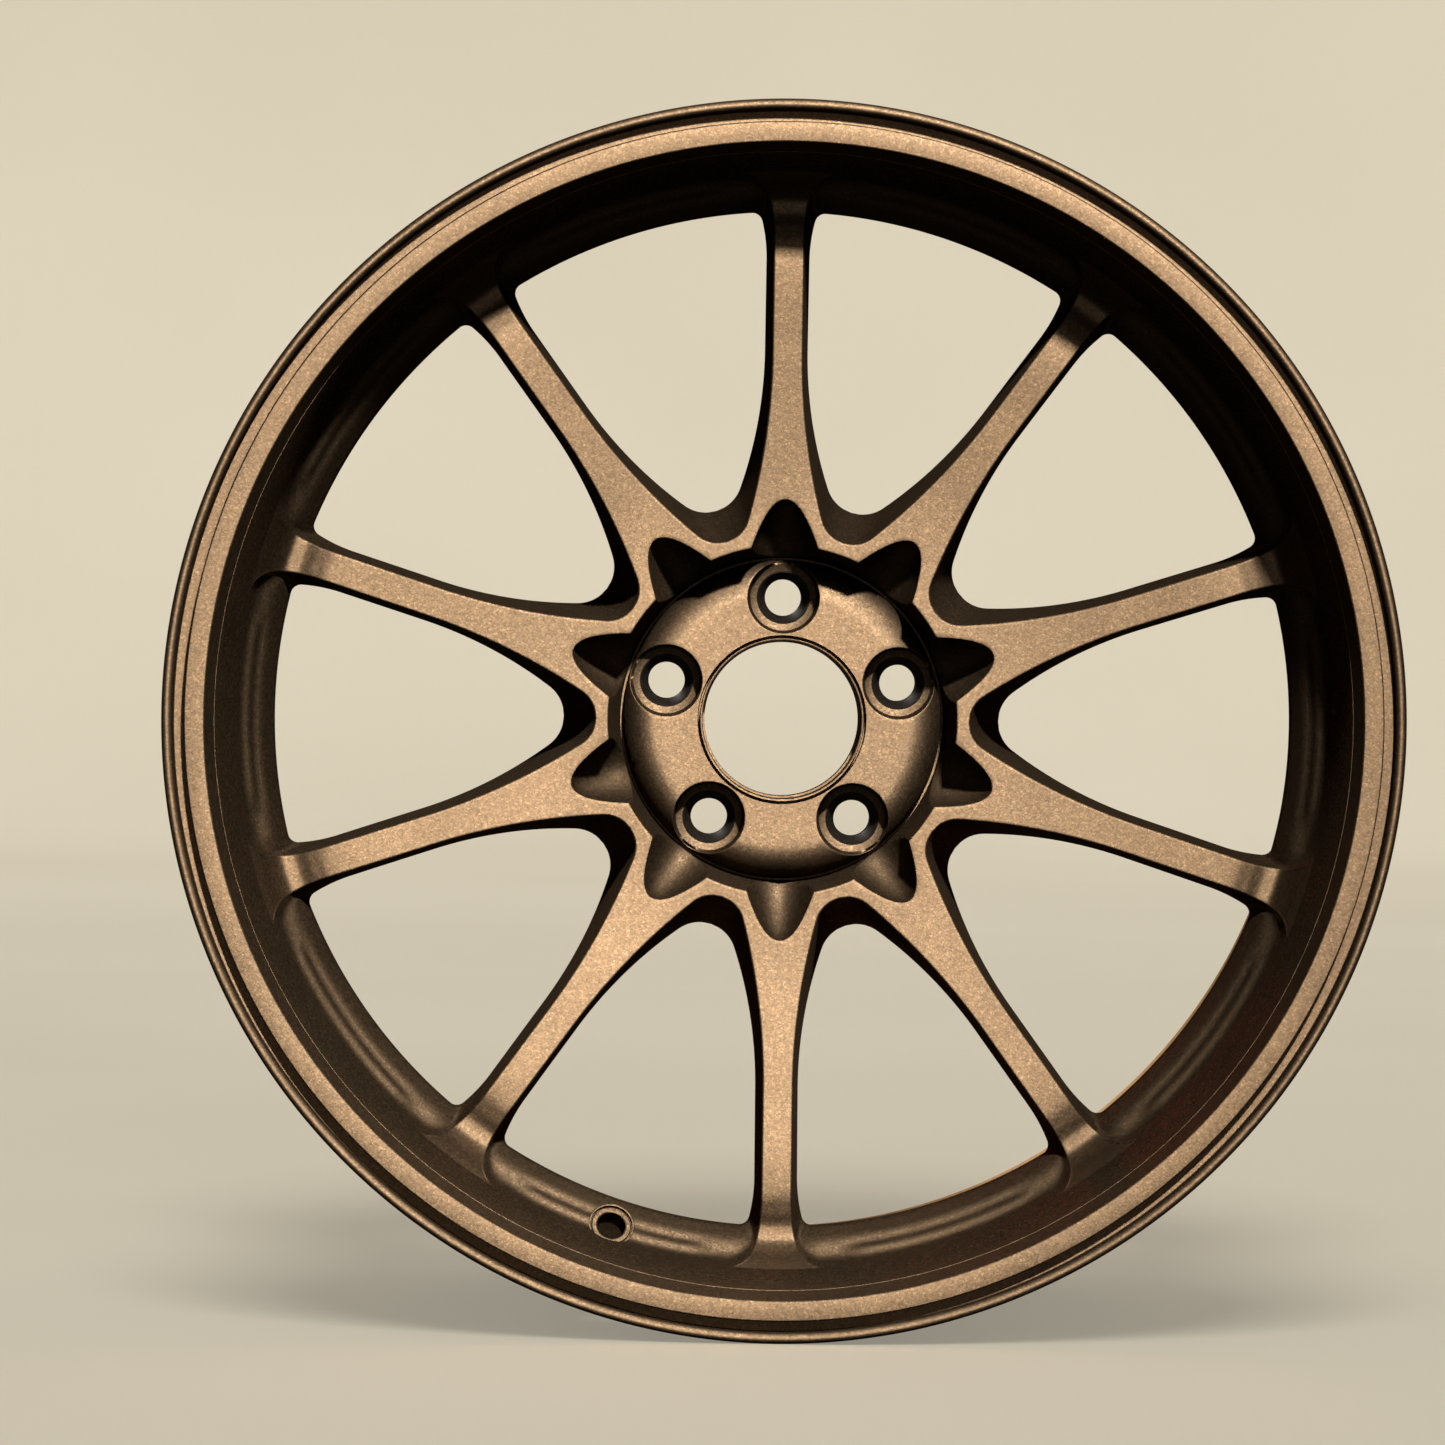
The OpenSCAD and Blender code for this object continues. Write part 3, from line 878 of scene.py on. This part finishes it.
def build_lug_seats(material):
    """A 60 degree cone seat in each lug hole's pocket."""
    top = PAD_D + LUG_BORE_DEPTH
    outline = rounded([(LUG_SEAT_R, top + 0.25), (LUG_SEAT_R, top + LUG_SEAT_DEPTH),
                       (LUG_HOLE_R, top + LUG_SEAT_DEPTH), (LUG_HOLE_R, top + 5.2, 0.5),
                       (10.4, top + 0.1, 0.15)])
    for i in range(LUG_COUNT):
        a = lug_angle(i)
        centre = (LUG_CIRCLE_R * math.cos(a), LUG_CIRCLE_R * math.sin(a))
        new_piece(f"nut_seat_{i + 1}", lathe_bm(outline, centre, SMALL_LATHE_STEPS),
                  [f"lug_seat_{i + 1}"], material)


# --------------------------------------------------------------------- valve
def valve_matrix():
    """From an axis along depth to the valve's own tilted axis."""
    face = world(VALVE_R * math.cos(VALVE_ANGLE), VALVE_R * math.sin(VALVE_ANGLE), VALVE_D)
    out = Vector((math.cos(VALVE_ANGLE), 0, math.sin(VALVE_ANGLE)))
    axis = (Vector((0, 1, 0)) * math.cos(VALVE_TILT) + out * math.sin(VALVE_TILT)).normalized()
    turn = Vector((0, 1, 0)).rotation_difference(axis).to_matrix().to_4x4()
    return Matrix.Translation(face) @ turn


def along_valve(outline, steps):
    """A lathe about the valve's axis: outline in (radius, distance from the face)."""
    bm = lathe_bm([(r, d + HALF_W) for r, d in outline], steps=steps)
    bm.transform(valve_matrix())
    return bm


def valve_cutter():
    """What is cut away for the boss: a plain rod, a little thinner than the boss."""
    near_axis, r = 0.01, VALVE_BOSS_R - 0.15
    bm = along_valve([(near_axis, -20), (r, -20), (r, 24), (near_axis, 24)], 72)
    mesh = bpy.data.meshes.new("valve_cutter")
    bm.to_mesh(mesh)
    bm.free()
    obj = bpy.data.objects.new("valve_cutter", mesh)
    bpy.context.scene.collection.objects.link(obj)
    return obj


def build_valve(material):
    """The boss: a raised rim, a spot face inside it and the hole's rounded edge."""
    rim_r = VALVE_SPOT_R + 0.15
    outline = rounded([(VALVE_HOLE_R, 0.9, 0.3), (VALVE_HOLE_R + 0.55, 0.55, 0.3),
                       (VALVE_SPOT_R - 0.5, 0.6, 0.2), (VALVE_SPOT_R - 0.1, 1.1, 0.15),
                       (rim_r, 1.1, 0.1), (rim_r, 0.0, 0.35), (VALVE_BOSS_R, 0.0, 0.6),
                       (VALVE_BOSS_R, VALVE_LENGTH), (VALVE_HOLE_R, VALVE_LENGTH)])
    new_piece("valve_boss_ring", along_valve(outline, SMALL_LATHE_STEPS),
              ["valve_boss"], material)


# ------------------------------------------------------------------ materials
PAINT = (0.36, 0.244, 0.147)
PAINT_ROUGH = 0.63
INNER_ROUGH = 0.5
INNER_PAINTED_SHADE = 0.92      # painted shade: the paint behind the spokes is made a little darker, for the shade they lie in
CLOUD_DARK = (0.93, 0.93, 0.93)
CLOUD_LIGHT = (1.06, 1.05, 1.03)
FLAKE_TINT = (0.30, 0.24, 0.18, 1)
SEAT_BLACK, SEAT_WORN = (0.004, 0.003, 0.0024), (0.009, 0.007, 0.0055)
BACKDROP_DARK, BACKDROP_LIGHT = (0.58, 0.54, 0.45), (0.61, 0.57, 0.48)
BACKDROP_GLOW = 0.42


def nodes_of(name):
    """A new material, its node tree and its shader."""
    material = bpy.data.materials.new(name)
    material.use_nodes = True
    tree = material.node_tree
    return material, tree, tree.nodes["Principled BSDF"]


def add(tree, kind, **settings):
    """A node with some of its inputs or settings changed."""
    node = tree.nodes.new(kind)
    for key, value in settings.items():
        if key in node.inputs:
            node.inputs[key].default_value = value
        else:
            setattr(node, key, value)
    return node


def ramp(tree, source, stops):
    """A colour ramp through (place, colour) stops. Gives its colour output."""
    node = tree.nodes.new("ShaderNodeValToRGB")
    tree.links.new(source, node.inputs["Fac"])
    points = node.color_ramp.elements
    while len(points) < len(stops):
        points.new(0.5)
    for point, (place, colour) in zip(points, stops):
        point.position = place
        point.color = (*colour, 1)
    return node.outputs["Color"]


def grey(value):
    return (value, value, value)


def tinted(colour, factors):
    return tuple(c * k for c, k in zip(colour, factors))


# Painted shade: how much of the paint's colour is left, by how far the surface faces outboard.
# Walls and rounds turned away from the face are painted darker, as the light leaves them dark.
FACING_PAINTED_SHADE = [(0.0, grey(0.10)), (0.50, grey(0.13)), (0.80, grey(0.16)), (0.90, grey(0.24)),
        (0.95, grey(0.38)), (0.98, grey(0.60)), (0.997, grey(1.0))]


def bronze(name, base, rough, painted_shade):
    """Matte metallic bronze paint: fine flake, soft mottling and orange peel. If asked, painted
    shade darkens its colour where the surface turns away from the wheel's face, standing in for the
    walls and rounds that the light leaves dark."""
    material, tree, shader = nodes_of(name)
    link = tree.links.new
    coords = tree.nodes.new("ShaderNodeTexCoord").outputs["Object"]
    flake = add(tree, "ShaderNodeTexVoronoi", Scale=1500.0)
    mottle = add(tree, "ShaderNodeTexNoise", Scale=620.0, Detail=3.0, Roughness=0.65)
    cloud = add(tree, "ShaderNodeTexNoise", Scale=26.0, Detail=2.0)
    peel = add(tree, "ShaderNodeTexNoise", Scale=1100.0, Detail=2.0)
    for node in (flake, mottle, cloud, peel):
        link(coords, node.inputs["Vector"])
    split = tree.nodes.new("ShaderNodeSeparateColor")
    link(flake.outputs["Color"], split.inputs["Color"])
    spark = ramp(tree, split.outputs["Red"], [(0.0, grey(0.80)), (0.62, grey(0.98)),
                                              (0.90, grey(1.12)), (1.0, grey(1.42))])
    grain = ramp(tree, mottle.outputs["Fac"], [(0.28, grey(0.80)), (0.5, grey(1.0)),
                                               (0.74, grey(1.2))])
    colour = ramp(tree, cloud.outputs["Fac"], [(0.3, tinted(base, CLOUD_DARK)),
                                               (0.7, tinted(base, CLOUD_LIGHT))])
    factors = [spark, grain]
    # painted shade: the colour is darkened by how far the surface turns from the wheel's face
    if painted_shade:
        normal = tree.nodes.new("ShaderNodeSeparateXYZ")
        link(tree.nodes["Texture Coordinate"].outputs["Normal"], normal.inputs[0])
        facing = tree.nodes.new("ShaderNodeMath")
        facing.operation = "ABSOLUTE"
        link(normal.outputs["Y"], facing.inputs[0])
        factors.append(ramp(tree, facing.outputs[0], FACING_PAINTED_SHADE))
    for factor in factors:
        mix = tree.nodes.new("ShaderNodeMix")
        mix.data_type = "RGBA"
        mix.blend_type = "MULTIPLY"
        mix.inputs["Factor"].default_value = 1.0
        link(colour, mix.inputs["A"])
        link(factor, mix.inputs["B"])
        colour = mix.outputs["Result"]
    link(colour, shader.inputs["Base Color"])
    shine = ramp(tree, split.outputs["Green"], [(0.0, grey(rough - 0.07)),
                                                (1.0, grey(rough + 0.08))])
    link(shine, shader.inputs["Roughness"])
    shader.inputs["Metallic"].default_value = 1.0
    shader.inputs["Specular IOR Level"].default_value = 0.25
    shader.inputs["Specular Tint"].default_value = FLAKE_TINT
    bump = add(tree, "ShaderNodeBump", Strength=0.35, Distance=0.00012)
    link(peel.outputs["Fac"], bump.inputs["Height"])
    tilt = add(tree, "ShaderNodeBump", Strength=0.16, Distance=0.0001)
    link(split.outputs["Blue"], tilt.inputs["Height"])
    link(bump.outputs["Normal"], tilt.inputs["Normal"])
    link(tilt.outputs["Normal"], shader.inputs["Normal"])
    return material


def seat_finish():
    """Black hard-anodised nut seat, with faint turning marks and wear."""
    material, tree, shader = nodes_of("black_seat")
    link = tree.links.new
    coords = tree.nodes.new("ShaderNodeTexCoord").outputs["Object"]
    wear = add(tree, "ShaderNodeTexNoise", Scale=700.0, Detail=4.0, Roughness=0.7)
    fine = add(tree, "ShaderNodeTexNoise", Scale=2600.0, Detail=2.0)
    link(coords, wear.inputs["Vector"])
    link(coords, fine.inputs["Vector"])
    colour = ramp(tree, wear.outputs["Fac"], [(0.35, SEAT_BLACK), (0.72, SEAT_WORN)])
    link(colour, shader.inputs["Base Color"])
    shine = ramp(tree, wear.outputs["Fac"], [(0.3, grey(0.42)), (0.75, grey(0.62))])
    link(shine, shader.inputs["Roughness"])
    shader.inputs["Metallic"].default_value = 0.0
    shader.inputs["Specular IOR Level"].default_value = 0.05
    bump = add(tree, "ShaderNodeBump", Strength=0.25, Distance=0.0001)
    link(fine.outputs["Fac"], bump.inputs["Height"])
    link(bump.outputs["Normal"], shader.inputs["Normal"])
    return material


# --------------------------------------------------------------------- stage
STAGE_REACH, STAGE_BEND, STAGE_HEIGHT = 6.0, 1.6, 5.0
STAGE_STEPS = 96


def stage_bm():
    """The floor and wall's skin, with the floor just under the wheel."""
    flat = STAGE_REACH - STAGE_BEND
    line = [(0.0, 0.0), (1.0, 0.0), (2.5, 0.0), (flat, 0.0)]
    line += [(flat + STAGE_BEND * math.sin(a), STAGE_BEND * (1 - math.cos(a)))
             for a in np.linspace(0, math.pi / 2, 17)[1:]]
    line.append((STAGE_REACH, STAGE_HEIGHT))
    bm = bmesh.new()
    ring = [[bm.verts.new((r * math.cos(a), r * math.sin(a), z - FLANGE_R / 1000)) for r, z in line]
            for a in np.linspace(0, 2 * math.pi, STAGE_STEPS, endpoint=False)]
    for k in range(STAGE_STEPS):
        a, b = ring[k], ring[(k + 1) % STAGE_STEPS]
        for i in range(len(line) - 1):
            bm.faces.new((a[i], b[i], b[i + 1], a[i + 1]))
    bmesh.ops.remove_doubles(bm, verts=bm.verts, dist=1e-6)
    bmesh.ops.dissolve_degenerate(bm, dist=1e-6, edges=bm.edges)
    return bm


def build_stage():
    """A pale round floor that curves up into a wall on every side."""
    material, tree, shader = nodes_of("pale_backdrop")
    coords = tree.nodes.new("ShaderNodeTexCoord").outputs["Object"]
    noise = add(tree, "ShaderNodeTexNoise", Scale=1.2, Detail=2.0)
    tree.links.new(coords, noise.inputs["Vector"])
    tone = ramp(tree, noise.outputs["Fac"], [(0.3, BACKDROP_DARK), (0.7, BACKDROP_LIGHT)])
    tree.links.new(tone, shader.inputs["Base Color"])
    tree.links.new(tone, shader.inputs["Emission Color"])
    shader.inputs["Emission Strength"].default_value = BACKDROP_GLOW
    shader.inputs["Roughness"].default_value = 0.9
    bm = stage_bm()
    mesh = bpy.data.meshes.new("backdrop")
    bm.to_mesh(mesh)
    bm.free()
    mesh.materials.append(material)
    mesh.polygons.foreach_set("use_smooth", [True] * len(mesh.polygons))
    obj = bpy.data.objects.new("backdrop", mesh)
    bpy.context.scene.collection.objects.link(obj)
    obj.visible_glossy = False
    return obj


# Lamps on the wheel: place, target, size, power, colour, beam in degrees
LAMPS = {
    "key": ((0.85, -2.9, 3.1), (-0.10, -0.08, -0.18), 0.30, 5.8, (1.0, 0.955, 0.89), 15),
    "front_fill": ((-0.4, -3.4, -0.9), (0, 0, 0), 1.2, 6, (1.0, 0.93, 0.84), 180),
    "rear_key": ((-1.5, 3.0, 1.9), (0, 0, 0), 0.8, 100, (1.0, 0.95, 0.88), 180),
}
STAGE_SUN_FROM = (0.0, -1.2, 1.6)
STAGE_SUN_POWER, STAGE_SUN_ANGLE = 1.35, 24
STAGE_SUN_COLOUR = (1.0, 0.96, 0.88)
STUDIO_COLOUR, STUDIO_GLOW = (1.0, 0.96, 0.90, 1), 0.08

SENSOR_WIDTH = 36.0     # mm
VIEW_WIDTH = 0.575688   # how much the picture takes in, at the lip's plane
CAMERA_DISTANCE = 2.2
CAMERA_X, CAMERA_Z = -0.038, 0.046
AIM_X, AIM_Z = -0.0247, -0.0002
CAMERA_ROLL = 0.76      # degrees


def look_at(obj, target, roll=0.0):
    """Turns a light or camera to face a point, rolled about its line of sight."""
    aim = (Vector(target) - obj.location).normalized()
    obj.rotation_euler = (aim.to_track_quat("-Z", "Y").to_matrix()
                          @ Matrix.Rotation(roll, 3, "Z")).to_euler()


def add_light(name, kind, place, target, power, colour):
    light = bpy.data.lights.new(name, kind)
    light.energy = power
    light.color = colour
    obj = bpy.data.objects.new(name, light)
    obj.location = place
    obj.visible_camera = False
    bpy.context.scene.collection.objects.link(obj)
    look_at(obj, target)
    return obj


def link_light(obj, item, state):
    """The light leaves one object out, or lights nothing else."""
    chosen = bpy.data.collections.new(f"{obj.name}_linking")
    chosen.objects.link(item)
    chosen.collection_objects[0].light_linking.link_state = state
    obj.light_linking.receiver_collection = chosen


def lamp(name, place, target, size, power, colour, spread, stage):
    """A round lamp on the wheel alone, with a beam of the given spread."""
    obj = add_light(name, "AREA", place, target, power, colour)
    obj.data.shape = "DISK"
    obj.data.size = size
    obj.data.spread = math.radians(spread)
    link_light(obj, stage, "EXCLUDE")


def build_lights(stage):
    """A key like low sun, weak fills from below and behind, and the stage's own light."""
    for name, settings in LAMPS.items():
        lamp(name, *settings, stage)
    sun = add_light("stage_sun", "SUN", STAGE_SUN_FROM, (0, 0, 0), STAGE_SUN_POWER,
                    STAGE_SUN_COLOUR)
    sun.data.angle = math.radians(STAGE_SUN_ANGLE)
    link_light(sun, stage, "INCLUDE")
    world_settings = bpy.data.worlds.new("studio")
    world_settings.use_nodes = True
    background = world_settings.node_tree.nodes["Background"]
    background.inputs["Color"].default_value = STUDIO_COLOUR
    background.inputs["Strength"].default_value = STUDIO_GLOW
    bpy.context.scene.world = world_settings
    bpy.context.scene.view_settings.view_transform = "Standard"


def build_camera():
    """In front of the outboard face, a little high and to the left."""
    lip_y = -HALF_W / 1000
    data = bpy.data.cameras.new("camera")
    data.sensor_width = SENSOR_WIDTH
    data.lens = SENSOR_WIDTH * CAMERA_DISTANCE / VIEW_WIDTH
    obj = bpy.data.objects.new("camera", data)
    obj.location = (CAMERA_X, lip_y - CAMERA_DISTANCE, CAMERA_Z)
    bpy.context.scene.collection.objects.link(obj)
    look_at(obj, (AIM_X, lip_y, AIM_Z), math.radians(CAMERA_ROLL))
    bpy.context.scene.camera = obj


def main():
    build_camera()
    build_lights(build_stage())
    # the outer paint carries the painted shade by facing
    outer = bronze("bronze_paint", PAINT, PAINT_ROUGH, True)
    # a darker copy of the paint: painted shade for the parts behind the spokes
    inner = bronze("bronze_paint_inner", tinted(PAINT, grey(INNER_PAINTED_SHADE)), INNER_ROUGH, False)
    cutter = valve_cutter()
    build_spokes(outer, cutter)
    build_lip(outer, cutter)
    build_barrel(inner, cutter)
    bpy.data.objects.remove(cutter)
    build_rear(inner)
    build_pad(outer)
    build_lug_seats(seat_finish())
    build_valve(outer)


main()
